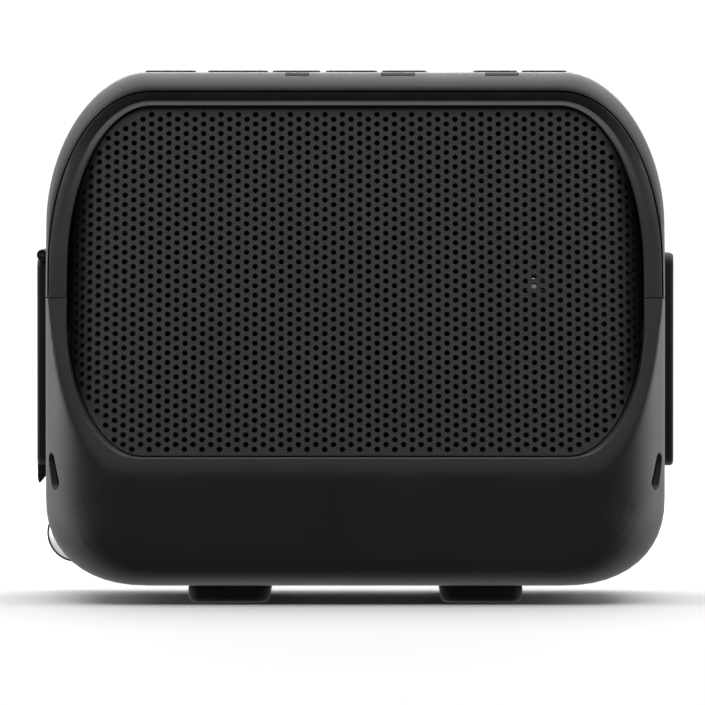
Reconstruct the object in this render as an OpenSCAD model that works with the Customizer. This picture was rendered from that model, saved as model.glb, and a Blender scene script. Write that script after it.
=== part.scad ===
// Splash-proof portable speaker: a rounded box whose front leans back above a low upright chin.
// Origin: middle of the base, on the surface that the two rail feet stand on. The front faces -Y.

/* [Body] */
// Width of the body
body_w = 130; // [126:1:134]
// Depth of the body at its base
body_d = 62; // [61:1:64]
// Crest of the crown above the table
crown_z = 111.2; // [110.6:0.2:112]
// Underside of the body above the table
base_z = 3.8; // [3.6:0.1:4]
// Radius of the upright front corners, in plan
front_r = 16.5; // [15:0.5:17.5]
// Radius of the upright rear corners, in plan
rear_r = 14; // [13:0.5:14.5]
// Thickness of the moulded walls
wall = 2.4; // [2.2:0.1:2.6]

/* [Front] */
// Backward lean of the grille and its bezel, from the vertical
lean = 19; // [18:0.5:20]
// Height of the crease between the chin and the leaning front
crease_z = 27.4; // [27:0.2:28]
// Height of the joint line between the lower bezel and the arched trim
seam_z = 63.8; // [62:0.2:66]
// Top of the grille opening
opening_top = 104; // [103.5:0.1:104.3]
// Bottom of the grille opening
opening_low = 30.8; // [30.4:0.1:31.2]

/* [Driver] */
// Side-to-side place of the driver's axis
driver_x = -3.5; // [-5:0.5:0]
// Distance of the driver's axis up the leaning front, from the crease
driver_s = 42; // [41:0.5:43]
// Width of the driver's square flange
flange_w = 68; // [67:0.5:69]
// Distance between neighbouring driver screws
screw_pitch = 57.5; // [57:0.25:58]
// Cone travel each way
cone_travel = 1.5; // [1:0.1:1.5]

/* [Keys] */
// Depth of the keys, front to back
key_d = 8; // [7:0.5:8.5]
// Front-to-back place of the key row
key_y = 9.4; // [9:0.2:10]
// Height of the keys above the crown
key_proud = 0.4; // [0.3:0.05:0.5]
// Clearance round a key
key_gap = 0.3; // [0.25:0.05:0.35]

/* [Side covers] */
// Height of the middle of the two side covers
cover_z = 50.4; // [49:0.2:51]
// Length of a side cover, up and down
cover_h = 45.2; // [44:0.2:46]
// Width of a side cover, front to back
cover_d = 16; // [15:0.5:17]
// How far a side cover stands out from the body
cover_proud = 2.4; // [2.2:0.1:2.6]

/* [Feet] */
// Distance between the middles of the two rail feet
foot_span = 52.8; // [50:0.2:56]
// Width of a rail foot
foot_w = 17.2; // [16:0.2:18]
// Length of a rail foot, front to back
foot_l = 44; // [40:1:46]

/* [Hidden] */
$fn = 48;

half_w = body_w / 2;
front_y = -body_d / 2;
rear_y = body_d / 2;
far = body_w;
clear = 0.2;

// Corners of the body seen from the front: middles, half-sizes and squareness
top_mid = [half_w - 20.7, crown_z - 31.2];
top_r = [20.7, 31.2];
low_mid = [half_w - 22, base_z + 18];
low_r = [22, 18];

// Side outline: crown radius, rear crest radius and base radii
crown_r = 6.2;
crest_r = 12;
sole_r = 6;

// The plane where the two housings meet
split_y = -8;
// Depths below the leaning face
mouth_n = 3.4;
grille_n = 1.7;
grille_t = 0.8;
wing_x = 52.5;
wing_r = 8.4;
wing_deep = 5.4;
mesh_n = 3.6;
flange_n = 6;
baffle_n = 7.5;
baffle_t = 2.5;
bezel_n = 5.2;

// Keys: [middle, width] along the row, left to right
KEYS = [[-39.2, 10.8], [-24.9, 12.8], [-12.5, 10.2], [-0.8, 11], [10.4, 9.6], [29.7, 9.4], [40.1, 9.6]];
mic_x = 19.6;
board_z = 103;
board_t = 1.6;
keyframe_t = 1;
key_low = crown_z - 4;
// Smoked windows ahead of the keys: [middle, width]
LAMPS = [[-12.3, 4.8], [9, 7], [31, 6.8]];

// Rear cover
rear_w = 90;
rear_low = 21;
rear_high = 91;
rear_t = 2.6;

port_z = [41, 58];
cover_y = 9;
cover_low = cover_z - cover_h / 2;
cover_high = cover_z + cover_h / 2;
// Place of the status lamp on the leaning face: [x, distance up the face]
lamp_at = [37.5, 43.5];
strap_z = 27.6;
button_at = [-60, 12.3];
pin_z = cover_high - 0.5;
pin_x = -half_w - cover_proud / 2;

function spow(v, p) = sign(v) * pow(abs(v), p);

// One corner of a superellipse with squareness n, from angle a to angle b
function corner(mid, r, n, a, b, steps = 10) = [
    for (i = [0:steps])
        let (t = a + (b - a) * i / steps)
        [mid[0] + r[0] * spow(cos(t), 2 / n), mid[1] + r[1] * spow(sin(t), 2 / n)]
];

function mirror_x(points) = [for (i = [len(points) - 1:-1:0]) [-points[i][0], points[i][1]]];

// A closed outline, symmetric left to right, from the right half drawn from bottom to top
function both_sides(half) = concat(half, mirror_x(half));

// Body from the front, shrunk by t
function front_outline(t) = both_sides(concat(
    corner(low_mid, [low_r[0] - t, low_r[1] - t], 2.3, -90, 0),
    corner(top_mid, [top_r[0] - t, top_r[1] - t], 1.9, 0, 90)
));

// Grille opening from the front, grown by t, with low corners of squareness n
function opening_outline(t, n = 1.95) = both_sides(concat(
    corner([44.5, 60], [16 + t, 60 - opening_low + t], n, -90, 0),
    corner([43, 70], [17.5 + t, opening_top - 70 + t], 2, 0, 90)
));

// Mouth of the opening at the face: its low corners are squarer than the grille's
function mouth_outline(t) = opening_outline(t, 2.6);

// Outer edge of the arched trim from the front, grown by t
function trim_outline(t) = both_sides(concat(
    [[21, seam_z - 20], [64.3 + t, seam_z - 20]],
    corner([43, 70], [21.3 + t, 37 + t], 2.1, 0, 90)
));

// Body from the side as [y, z], shrunk by t
function side_outline(t) =
    let (
        crown_mid_z = crown_z - crown_r,
        crown_mid_y = front_y + (crown_r + (crown_mid_z - crease_z) * sin(lean)) / cos(lean)
    )
    concat(
        corner([front_y + sole_r, base_z + sole_r], [sole_r - t, sole_r - t], 2, 270, 180, 6),
        [[front_y + t, crease_z - t * tan(lean / 2)]],
        corner([crown_mid_y, crown_mid_z], [crown_r - t, crown_r - t], 2, 180 - lean, 90, 6),
        corner([rear_y - crest_r, crown_z - crest_r], [crest_r - t, crest_r - t], 2, 90, 0, 8),
        corner([rear_y - sole_r, base_z + sole_r], [sole_r - t, sole_r - t], 2, 0, -90, 6)
    );

module along_y(y0, y1) translate([0, y1, 0]) rotate([90, 0, 0]) linear_extrude(y1 - y0) children();

module along_x(x0, x1) translate([x0, 0, 0]) rotate([90, 0, 90]) linear_extrude(x1 - x0) children();

module block(low, high) translate(low) cube(high - low);

// Body from above, shrunk by t
module plan(t) {
    translate([-half_w + t, front_y + front_r]) square([body_w - 2 * t, body_d - front_r - rear_r]);
    translate([-half_w + front_r, front_y + t]) square([body_w - 2 * front_r, body_d / 2 - t]);
    translate([-half_w + rear_r, 0]) square([body_w - 2 * rear_r, body_d / 2 - t]);
    for (side = [-1, 1]) {
        translate([side * (half_w - front_r), front_y + front_r]) circle(front_r - t);
        translate([side * (half_w - rear_r), rear_y - rear_r]) circle(rear_r - t);
    }
}

// The whole body as one solid, shrunk by t
module body_solid(t) {
    intersection() {
        along_y(-far, far) polygon(front_outline(t));
        linear_extrude(2 * far) plan(t);
        along_x(-far, far) polygon(side_outline(t));
    }
}

// Leaning frame: x across, y into the body, z up the grille, from the crease
module on_face(at = [0, 0, 0]) translate([0, front_y, crease_z]) rotate([-lean, 0, 0]) translate(at) children();

// Slab between two depths below the leaning face
module face_slab(n0, n1) on_face() block([-far, n0, -far], [far, n1, far]);

// Driver frame: z runs from the leaning face into the body, along the driver's axis
module on_driver(n = 0) on_face([driver_x, n, driver_s]) rotate([-90, 0, 0]) children();

module ring(r_out, r_in, h) {
    difference() {
        cylinder(r = r_out, h = h);
        translate([0, 0, -1]) cylinder(r = r_in, h = h + 2);
    }
}

// Rounded square plate in the XY plane
module rounded_plate(w, d, r, h) {
    translate([-w / 2 + r, -d / 2, 0]) cube([w - 2 * r, d, h]);
    translate([-w / 2, -d / 2 + r, 0]) cube([w, d - 2 * r, h]);
    for (x = [-1, 1], y = [-1, 1]) translate([x * (w / 2 - r), y * (d / 2 - r), 0]) cylinder(r = r, h = h);
}

module driver_screw_places() for (x = [-1, 1], y = [-1, 1]) translate([x, y] * screw_pitch / 2) children();

// Everything that belongs to the front housing: ahead of the split and below the seam
module front_region(gap) block([-far, -far, -1], [far, split_y + gap, seam_z + gap]);

// Rim standing in from the face round the grille opening
module opening_rim(t) {
    intersection() {
        difference() {
            along_y(-far, far) polygon(mouth_outline(t));
            along_y(-far - 1, far + 1) polygon(opening_outline(0));
        }
        face_slab(0, bezel_n);
        body_solid(0.4);
    }
}

// Block inside a front corner that the strap slot is cut into, grown by t
module strap_block(side, t) block([side * 58 - 3.5 - t, -27 - t, 20 - t], [side * 58 + 3.5 + t, -16 + t, 35 + t]);

// Upright slot in a front corner, leaning with the face, of height h from its blind end
module strap_slot(side, h)
    translate([side * 59.8, -21.8, strap_z]) rotate([-lean, 0, 0]) rotate([0, side * 90, 0]) obround(8, 3, h);

// Bosses that join the two housings: [x, z]
LOW_BOSSES = [[-45, 12], [45, 12]];
HIGH_BOSSES = [[-59.6, 56], [59.6, 56]];

// Boss of length l, running forward from y
module boss(b, y, l) translate([b[0], y, b[1]]) rotate([90, 0, 0]) cylinder(r = 3.4, h = l);

module front_housing() color([0.12, 0.12, 0.12]) {
    difference() {
        union() {
            difference() {
                intersection() {
                    body_solid(0);
                    front_region(0);
                }
                body_solid(wall);
            }
            intersection() {
                opening_rim(1.8);
                front_region(0);
            }
            intersection() {
                union() {
                    for (b = LOW_BOSSES) boss(b, split_y, 22);
                    for (b = HIGH_BOSSES) boss(b, split_y, 10);
                }
                body_solid(0.5);
            }
            for (side = [-1, 1]) intersection() {
                strap_block(side, 0);
                body_solid(0.5);
            }
        }
        along_y(-far, far) polygon(opening_outline(0));
        intersection() {
            along_y(-far, far) polygon(mouth_outline(0));
            face_slab(-far, mouth_n);
        }
        for (b = concat(LOW_BOSSES, HIGH_BOSSES))
            translate([b[0], split_y + 1, b[1]]) rotate([90, 0, 0]) cylinder(r = 1.1, h = 9);
        for (side = [-1, 1]) strap_slot(side, 20);
    }
}

// Shallow seats in the side walls, for the port flap on the left and the fixed pad on the right
module flap_seat() block(
    [-far, cover_y - cover_d / 2 - 0.3, cover_low - 0.3],
    [-half_w + 1, cover_y + cover_d / 2 + 0.3, pin_z + 1.2]
);

module pad_seat() block(
    [half_w - 1, cover_y - cover_d / 2, cover_low],
    [far, cover_y + cover_d / 2, cover_high]
);

// Lugs that hold the ends of the flap's pin
module pin_lugs() for (y = [cover_y - cover_d / 2 - 1.6, cover_y + cover_d / 2 + 0.3]) difference() {
    union() {
        translate([pin_x, y, pin_z]) rotate([-90, 0, 0]) cylinder(r = cover_proud / 2, h = 1.3);
        block([pin_x, y, pin_z - 0.8], [-half_w + 1.2, y + 1.3, pin_z + 0.8]);
    }
    translate([pin_x, y - 1, pin_z]) rotate([-90, 0, 0]) cylinder(r = 0.4, h = 4);
}

module rear_screw_places() for (x = [-1, 1], z = [rear_low + 4, (rear_low + rear_high) / 2, rear_high - 4])
    translate([x * (rear_w / 2 - 4), 0, z]) rotate([-90, 0, 0]) children();

module key_slot(k, grow_x, grow_y, z0, z1) block(
    [k[0] - k[1] / 2 - grow_x, key_y - key_d / 2 - grow_y, z0],
    [k[0] + k[1] / 2 + grow_x, key_y + key_d / 2 + grow_y, z1]
);

module rear_housing() color([0.42, 0.42, 0.43]) {
    difference() {
        union() {
            difference() {
                body_solid(0);
                body_solid(wall);
            }
            // Frame that carries the rear cover
            intersection() {
                block([-rear_w / 2 - 4, 25.4, rear_low - 4], [rear_w / 2 + 4, far, rear_high + 4]);
                body_solid(0.5);
            }
            // Ledge behind the arched trim
            intersection() {
                difference() {
                    along_y(-far, far) polygon(trim_outline(0.6));
                    along_y(-far - 1, far + 1) polygon(trim_outline(-1.6));
                }
                face_slab(bezel_n + 0.3, bezel_n + 1.6);
                body_solid(0.5);
                block([-far, -far, seam_z + 1], [far, far, far]);
            }
            for (b = LOW_BOSSES) boss(b, rear_y - 2, rear_y - 2 - split_y - clear);
            intersection() {
                for (b = HIGH_BOSSES) boss(b, 0, -split_y - clear);
                body_solid(0.5);
            }
            // Posts of the main board
            for (x = [-43, 43], z = [31, 89]) translate([x, 25.6, z]) rotate([90, 0, 0]) cylinder(r = 2, h = 3);
            // Well behind the port flap
            intersection() {
                block([-half_w, 2.4, 32.5], [-59.2, 15.6, 66.5]);
                body_solid(0.5);
            }
            // Solid corner under the strap button
            intersection() {
                translate([button_at[0], 31, button_at[1]]) rotate([90, 0, 0]) cylinder(r = 10, h = 12);
                body_solid(0.5);
            }
        }
        front_region(clear);
        // Seat of the arched trim
        intersection() {
            along_y(-far, far) polygon(trim_outline(0.25));
            face_slab(-far, bezel_n + 0.3);
            block([-far, -far, seam_z], [far, far, far]);
        }
        // Room inside the trim, down to the baffle
        intersection() {
            along_y(-far, far) polygon(trim_outline(-1.6));
            face_slab(0, baffle_n);
        }
        block([-rear_w / 2 - clear, rear_y - rear_t - 0.6, rear_low - clear], [rear_w / 2 + clear, far, rear_high + clear]);
        block([-rear_w / 2 + 8, 0, rear_low + 8], [rear_w / 2 - 8, far, rear_high - 8]);
        rear_screw_places() cylinder(r = 1.05, h = 60);
        for (b = LOW_BOSSES) translate([b[0], 0, b[1]]) rotate([90, 0, 0]) {
            translate([0, 0, -far]) cylinder(r = 2.6, h = far - 4);
            translate([0, 0, -5]) cylinder(r = 1.5, h = 20);
        }
        for (b = HIGH_BOSSES) translate([b[0], 1, b[1]]) rotate([90, 0, 0]) cylinder(r = 1.5, h = 20);
        flap_seat();
        pad_seat();
        // Port well and the two sockets' openings
        block([-far, 4.4, 34.5], [-60.6, 13.6, 64.5]);
        for (z = port_z) block([-61, 5, z - 5.2], [-59, 13, z + 5.2]);
        translate([button_at[0], 26.2, button_at[1]]) rotate([-90, 0, 0]) cylinder(r = 7.4, h = 20);
        translate([button_at[0], 20.5, button_at[1]]) rotate([-90, 0, 0]) cylinder(r = 1.5, h = 20);
        // Seat of the key frame, and a window for each key
        block([KEYS[0][0] - 6.2, key_y - key_d / 2 - 1, crown_z - keyframe_t], [46.1, key_y + key_d / 2 + 1, far]);
        for (k = KEYS) key_slot(k, key_gap, key_gap, 100, far);
        translate([mic_x, key_y, 100]) cylinder(r = 1.7, h = 20);
        for (lamp = LAMPS) key_lamp(lamp, 0.05);
        for (i = [0:3]) charge_lamp(i, 0.05);
        translate([0, clear, 0]) seal_band(0);
    }
    pin_lugs();
}

// Arch that frames the top of the grille: a lip slopes in towards the opening
module arched_trim() color([0.16, 0.16, 0.16]) {
    difference() {
        intersection() {
            along_y(-far, far) polygon(trim_outline(0));
            face_slab(0, bezel_n);
            body_solid(0);
            block([-far, -far, seam_z + 0.15], [far, far, far]);
        }
        along_y(-far, far) polygon(opening_outline(0));
        // Sloped lip
        intersection() {
            along_y(-far, far) polygon(opening_outline(1));
            face_slab(-1, 0.8);
        }
    }
}

// Sheet pressed from one blank: flat in the middle, with swept-back wings
module grille() color([0.2, 0.2, 0.2]) {
    intersection() {
        along_y(-far, far) polygon(opening_outline(-0.3));
        on_face([0, grille_n, -10]) {
            block([-wing_x, 0, 0], [wing_x, grille_t, 110]);
            for (side = [-1, 1]) intersection() {
                translate([side * wing_x, wing_r, 0]) difference() {
                    cylinder(r = wing_r, h = 110, $fn = 96);
                    translate([0, 0, -1]) cylinder(r = wing_r - grille_t, h = 112, $fn = 96);
                }
                block([min(side * wing_x, side * 61), -1, 0], [max(side * wing_x, side * 61), wing_deep, 110]);
            }
        }
    }
}

module splash_mesh() color([0.05, 0.05, 0.05]) {
    intersection() {
        along_y(-far, far) polygon(opening_outline(-3));
        face_slab(mesh_n, mesh_n + 0.4);
        block([-50, -far, 0], [50, far, far]);
    }
}

// Band that follows the parting line between the two housings
module seal_band(t) {
    intersection() {
        difference() {
            body_solid(0.8 + t);
            body_solid(1.6 - t);
        }
        block([-far, split_y, 0], [far, split_y + 1, seam_z - 2]);
        block([-far, split_y, 0], [far, split_y + 1, far]);
    }
}

module housing_seal() color([0.1, 0.1, 0.1]) translate([0, clear, 0]) seal_band(0.05);

module screw(head_r, head_h, shank_r, shank_l) {
    difference() {
        cylinder(r = head_r, h = head_h);
        translate([0, 0, -1]) cylinder(r = head_r * 0.42, h = 1 + head_h * 0.6, $fn = 6);
    }
    translate([0, 0, head_h]) cylinder(r = shank_r, h = shank_l);
}

module housing_screws() color([0.6, 0.6, 0.62]) {
    for (b = LOW_BOSSES) translate([b[0], 6, b[1]]) rotate([90, 0, 0]) screw(2.3, 2, 1.05, 19);
    for (b = HIGH_BOSSES) translate([b[0], 1.8, b[1]]) rotate([90, 0, 0]) screw(2.3, 1.8, 1.05, 13);
}

module rear_cover() color([0.13, 0.13, 0.13]) {
    difference() {
        block([-rear_w / 2, rear_y - rear_t, rear_low], [rear_w / 2, rear_y, rear_high]);
        translate([0, rear_y - rear_t, 0]) rear_screw_places() {
            translate([0, 0, -1]) cylinder(r = 1.3, h = 5);
            translate([0, 0, 1]) cylinder(r = 2.5, h = 5);
        }
    }
}

module rear_cover_seal() color([0.08, 0.08, 0.08]) {
    difference() {
        block([-rear_w / 2 + 1, rear_y - rear_t - 0.6, rear_low + 1], [rear_w / 2 - 1, rear_y - rear_t, rear_high - 1]);
        block([-rear_w / 2 + 7, 0, rear_low + 7], [rear_w / 2 - 7, far, rear_high - 7]);
        translate([0, rear_y - rear_t - 2, 0]) rear_screw_places() cylinder(r = 1.3, h = 5);
    }
}

module rear_cover_screws() color([0.6, 0.6, 0.62]) {
    translate([0, rear_y - 0.3, 0]) rear_screw_places() rotate([180, 0, 0]) screw(2.2, 1.3, 1, 6.6);
}

module baffle_plate() color([0.1, 0.1, 0.1]) {
    difference() {
        intersection() {
            body_solid(wall + 0.3);
            face_slab(baffle_n, baffle_n + baffle_t);
            on_face() block([-57, 0, 4.5], [57, 20, 77]);
        }
        on_driver(0) {
            cylinder(r = 27.5, h = 40);
            driver_screw_places() cylinder(r = 1.05, h = 40);
        }
        on_face([lamp_at[0], 0, lamp_at[1]]) rotate([-90, 0, 0]) cylinder(r = 1.6, h = 40);
        for (b = HIGH_BOSSES) translate([b[0], 5, b[1]]) rotate([90, 0, 0]) cylinder(r = 4, h = 40);
        for (side = [-1, 1]) strap_block(side, 0.4);
    }
}

module driver_basket() color([0.2, 0.2, 0.21]) on_driver(flange_n) {
    difference() {
        union() {
            rounded_plate(flange_w, flange_w, 7, 1.5);
            cylinder(r = 27.2, h = 5);
            translate([0, 0, 5]) cylinder(r1 = 27.2, r2 = 19, h = 8);
        }
        translate([0, 0, -1]) cylinder(r = 24.8, h = 6);
        translate([0, 0, 5 - 0.01]) cylinder(r1 = 24.8, r2 = 18, h = 6.6);
        translate([0, 0, 4]) cylinder(r = 16, h = 20);
        driver_screw_places() translate([0, 0, -1]) cylinder(r = 1.4, h = 5);
        for (a = [0:90:270]) rotate(a + 45) translate([12, -8, 6]) cube([20, 16, 5.4]);
    }
}

module driver_gasket() color([0.06, 0.06, 0.06]) on_driver(flange_n - 0.7) ring(29.5, 27.2, 0.7);

module driver_screws() color([0.5, 0.5, 0.52])
    on_driver(flange_n - 1.2) driver_screw_places() screw(2.6, 1.2, 1, 7);

module cone_surround() color([0.07, 0.07, 0.07]) on_driver(flange_n) {
    rotate_extrude($fn = 96) {
        difference() {
            translate([24, 0]) circle(2);
            translate([24, 0]) circle(1.5);
            translate([20, 0]) square([8, 8]);
        }
        translate([25.4, 0]) square([1.7, 0.5]);
    }
    difference() {
        ring(27, 24.9, 0.5);
        translate([0, 0, -1]) cylinder(r = 25, h = 3);
    }
}

module cone() color([0.14, 0.14, 0.14]) on_driver(flange_n) {
    difference() {
        cylinder(r1 = 21.7, r2 = 7, h = 7);
        translate([0, 0, -0.01]) cylinder(r1 = 20.9, r2 = 6.2, h = 7.1);
    }
}

module dust_cap() color([0.1, 0.1, 0.1]) on_driver(flange_n + 4.6) {
    difference() {
        translate([0, 0, 12]) sphere(r = 14.6, $fn = 64);
        translate([0, 0, 12]) sphere(r = 14, $fn = 64);
        translate([0, 0, 20]) cube([60, 60, 40], center = true);
    }
}

// The coil is longer than the gap by the cone's travel each way
module voice_coil() color([0.7, 0.4, 0.2]) on_driver(flange_n + 7) ring(7, 6.6, 6 + 2 * cone_travel);

module spider() color([0.75, 0.6, 0.3]) on_driver(flange_n + 10.4) {
    ring(17.6, 7.4, 0.5);
    for (r = [9, 12, 15]) translate([0, 0, -0.5]) ring(r + 0.6, r - 0.6, 1);
}

module top_plate() color([0.6, 0.6, 0.6]) on_driver(flange_n + 13) ring(17.5, 7.5, 2.4);

module magnet() color([0.25, 0.25, 0.27]) on_driver(flange_n + 15.4) ring(19, 9.5, 6);

module yoke() color([0.6, 0.6, 0.6]) on_driver(flange_n + 21.4) {
    cylinder(r = 17.5, h = 2.6);
    translate([0, 0, -8.4]) cylinder(r = 6.1, h = 8.4);
}

// Battery cells, lying across the chin: [y, z]
cell_r = 9.2;
CELLS = [[-16.8, 16.2], [2.2, 16.2]];
tray_y = [-26.6, 12];

module battery_cells() color([0.2, 0.4, 0.6]) {
    for (c = CELLS) translate([-32.5, c[0], c[1]]) rotate([0, 90, 0]) {
        cylinder(r = cell_r, h = 64.4);
        translate([0, 0, 64.4]) cylinder(r = 2.8, h = 0.6);
    }
}

module battery_tray() color([0.15, 0.15, 0.15]) {
    difference() {
        block([-36, tray_y[0], base_z + wall + 0.4], [36, tray_y[1], 12.4]);
        for (c = CELLS) translate([-33.2, c[0], c[1]]) rotate([0, 90, 0]) cylinder(r = cell_r + 0.05, h = 66.4);
        block([-33.2, CELLS[0][0], 11], [33.2, CELLS[1][0], 20]);
    }
}

module battery_clamps() color([0.6, 0.6, 0.62]) {
    for (x = [-20, 20]) {
        block([x - 4, tray_y[0] - 0.6, 25.5], [x + 4, tray_y[1] + 0.6, 26.1]);
        for (y = [tray_y[0] - 0.6, tray_y[1]]) block([x - 4, y, 10], [x + 4, y + 0.6, 26.1]);
    }
}

module main_board() color([0.1, 0.35, 0.2]) {
    difference() {
        block([-46, 21, 28], [46, 22.6, 92]);
        for (x = [-43, 43], z = [31, 89]) translate([x, 20, z]) rotate([-90, 0, 0]) cylinder(r = 1.2, h = 4);
    }
}

// Amplifier, coils and capacitors on the main board
module board_parts() color([0.12, 0.12, 0.13]) {
    block([-8, 22.6, 52], [2, 24, 62]);
    block([8, 22.6, 66], [15, 26, 73]);
    block([18, 22.6, 66], [25, 26, 73]);
    for (x = [-30, -20, 20, 30]) translate([x, 22.6, 42]) rotate([-90, 0, 0]) cylinder(r = 3.2, h = 4.6);
    block([8, 22.6, 50], [18, 24.2, 58]);
}

module radio_module() color([0.7, 0.7, 0.72]) block([-34, 22.6, 66], [-18, 24.6, 84]);

module port_board() color([0.1, 0.35, 0.2]) block([-52.4, 2, 33], [-50.8, 16, 66]);

module charging_socket() color([0.75, 0.75, 0.78]) {
    difference() {
        translate([-60.4, 9, port_z[0]]) rotate([0, 90, 0]) obround(9.1, 3.4, 8);
        translate([-61, 9, port_z[0]]) rotate([0, 90, 0]) obround(8.5, 2.8, 7);
    }
    block([-60, 8.65, port_z[0] - 3.2], [-54, 9.35, port_z[0] + 3.2]);
}

module obround(l, w, h) {
    translate([-(l - w) / 2, -w / 2, 0]) cube([l - w, w, h]);
    for (side = [-1, 1]) translate([side * (l - w) / 2, 0, 0]) cylinder(r = w / 2, h = h);
}

module audio_jack() color([0.08, 0.08, 0.08]) {
    difference() {
        union() {
            block([-59, 5.6, port_z[1] - 3.4], [-52.4, 12.4, port_z[1] + 3.4]);
            translate([-60.5, 9, port_z[1]]) rotate([0, 90, 0]) cylinder(r = 3, h = 2);
        }
        translate([-61, 9, port_z[1]]) rotate([0, 90, 0]) cylinder(r = 1.8, h = 8);
    }
}

module key_board() color([0.1, 0.35, 0.2]) block([-46, 6, board_z], [46, 13.4, board_z + board_t]);

module tact_switches() color([0.7, 0.7, 0.72]) {
    for (k = KEYS) translate([k[0], key_y + 0.2, board_z + board_t]) {
        translate([-2.6, -2.6, 0]) cube([5.2, 5.2, 1.2]);
        translate([0, 0, 1.2]) cylinder(r = 1.2, h = 0.7);
    }
}

// Elastomer surround of the key row
module key_frame() color([0.14, 0.14, 0.14]) {
    difference() {
        block([KEYS[0][0] - 6.1, key_y - key_d / 2 - 0.9, crown_z - keyframe_t], [46, key_y + key_d / 2 + 0.9, crown_z]);
        for (k = KEYS) key_slot(k, key_gap, key_gap, 100, far);
        translate([mic_x, key_y, 100]) cylinder(r = 1.7, h = 20);
    }
}

// A key: a cap through the crown, and a deeper flange that keeps it in
module key(i) {
    key_slot(KEYS[i], 0, 0, key_low, crown_z + key_proud);
    key_slot(KEYS[i], 0, 0.8, key_low, key_low + 0.8);
}

module power_key() color([0.2, 0.2, 0.2]) key(0);
module pairing_key() color([0.2, 0.2, 0.2]) key(1);
module volume_down_key() color([0.2, 0.2, 0.2]) key(2);
module play_key() color([0.2, 0.2, 0.2]) key(3);
module volume_up_key() color([0.2, 0.2, 0.2]) key(4);
module track_back_key() color([0.2, 0.2, 0.2]) key(5);
module track_forward_key() color([0.2, 0.2, 0.2]) key(6);

module microphone() color([0.3, 0.3, 0.3]) {
    difference() {
        translate([mic_x, key_y, board_z + board_t]) cylinder(r = 1.6, h = crown_z - board_z - board_t);
        translate([mic_x, key_y, crown_z - 1]) cylinder(r = 0.5, h = 5);
    }
}

// Smoked window in the crown, ahead of the keys
module key_lamp(lamp, gap) block(
    [lamp[0] - lamp[1] / 2 - gap, -0.7 - gap, crown_z - 1.6 - gap],
    [lamp[0] + lamp[1] / 2 + gap, 1.3 + gap, crown_z]
);

module key_lamps() color([0.03, 0.03, 0.03]) {
    for (lamp = LAMPS) intersection() {
        key_lamp(lamp, 0);
        body_solid(-0.05);
    }
}

module status_lamp() color([0.9, 0.95, 1]) on_face([lamp_at[0], 5.4, lamp_at[1]]) rotate([-90, 0, 0]) {
    cylinder(r = 1.1, h = 6);
    translate([0, 0, 5]) cylinder(r = 3, h = 1.2);
}

// Battery gauge: short light bars up the left shoulder
module charge_lamp(i, gap) {
    z = 84.5 + 1.95 * i;
    block([-far, 3 - gap, z - 0.65 - gap], [-58.4, 12 + gap, z + 0.65 + gap]);
}

module charge_lamps() color([0.05, 0.05, 0.05]) {
    for (i = [0:3]) intersection() {
        charge_lamp(i, 0);
        body_solid(-0.15);
        block([-far, 0, 0], [-60.6, far, far]);
    }
}

// Cover over the ports: it turns up about a pin at its top, and a tab at its foot is for a finger
module port_flap() color([0.1, 0.1, 0.1]) {
    z1 = cover_high - 1;
    x1 = -half_w - cover_proud;
    x2 = -half_w - 0.3;
    y0 = cover_y - cover_d / 2;
    difference() {
        union() {
            block([x1, y0, cover_low], [-half_w + 0.6, y0 + cover_d, z1]);
            translate([pin_x, y0, pin_z]) rotate([-90, 0, 0]) cylinder(r = cover_proud / 2, h = cover_d);
            block([x1, y0, z1 - 1], [x1 + 1.2, y0 + cover_d, pin_z]);
            along_y(cover_y - 5, cover_y + 5) polygon([
                [x1, cover_low + 1], [x1, cover_low - 3.7], [x1 + 0.5, cover_low - 3.7],
                [x2, cover_low - 2.4], [x2, cover_low + 1]
            ]);
        }
        translate([pin_x, -far, pin_z]) rotate([-90, 0, 0]) cylinder(r = 0.45, h = 2 * far);
    }
}

module flap_pin() color([0.6, 0.6, 0.62])
    translate([pin_x, cover_y - cover_d / 2 - 1.6, pin_z]) rotate([-90, 0, 0]) cylinder(r = 0.4, h = cover_d + 3.2);

// Matching pad on the other side
module side_cover() color([0.1, 0.1, 0.1]) block(
    [half_w - 1, cover_y - cover_d / 2, cover_low],
    [half_w + cover_proud, cover_y + cover_d / 2, cover_high]
);

// Elastomer floors of the two slots
module left_strap_socket() color([0.3, 0.3, 0.3]) strap_slot(-1, 1);
module right_strap_socket() color([0.3, 0.3, 0.3]) strap_slot(1, 1);

module strap_button() color([0.8, 0.8, 0.82]) {
    translate([button_at[0], 0, button_at[1]]) rotate([-90, 0, 0]) {
        translate([0, 0, 28.6]) cylinder(r = 6.3, h = 2);
        translate([0, 0, 26.2]) cylinder(r = 3, h = 2.6);
        translate([0, 0, 21]) cylinder(r = 1.4, h = 6);
    }
}

// Rail foot with rounded lower edges
module rail_foot(side) {
    translate([side * foot_span / 2, 0, 0]) {
        block([-foot_w / 2, -foot_l / 2, 1.6], [foot_w / 2, foot_l / 2, base_z]);
        block([-foot_w / 2 + 1.6, -foot_l / 2 + 1.6, 0], [foot_w / 2 - 1.6, foot_l / 2 - 1.6, 2]);
        for (x = [-1, 1]) translate([x * (foot_w / 2 - 1.6), -foot_l / 2, 1.6]) rotate([-90, 0, 0])
            cylinder(r = 1.6, h = foot_l);
    }
}

module left_foot() color([0.2, 0.2, 0.2]) rail_foot(-1);
module right_foot() color([0.2, 0.2, 0.2]) rail_foot(1);

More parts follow.
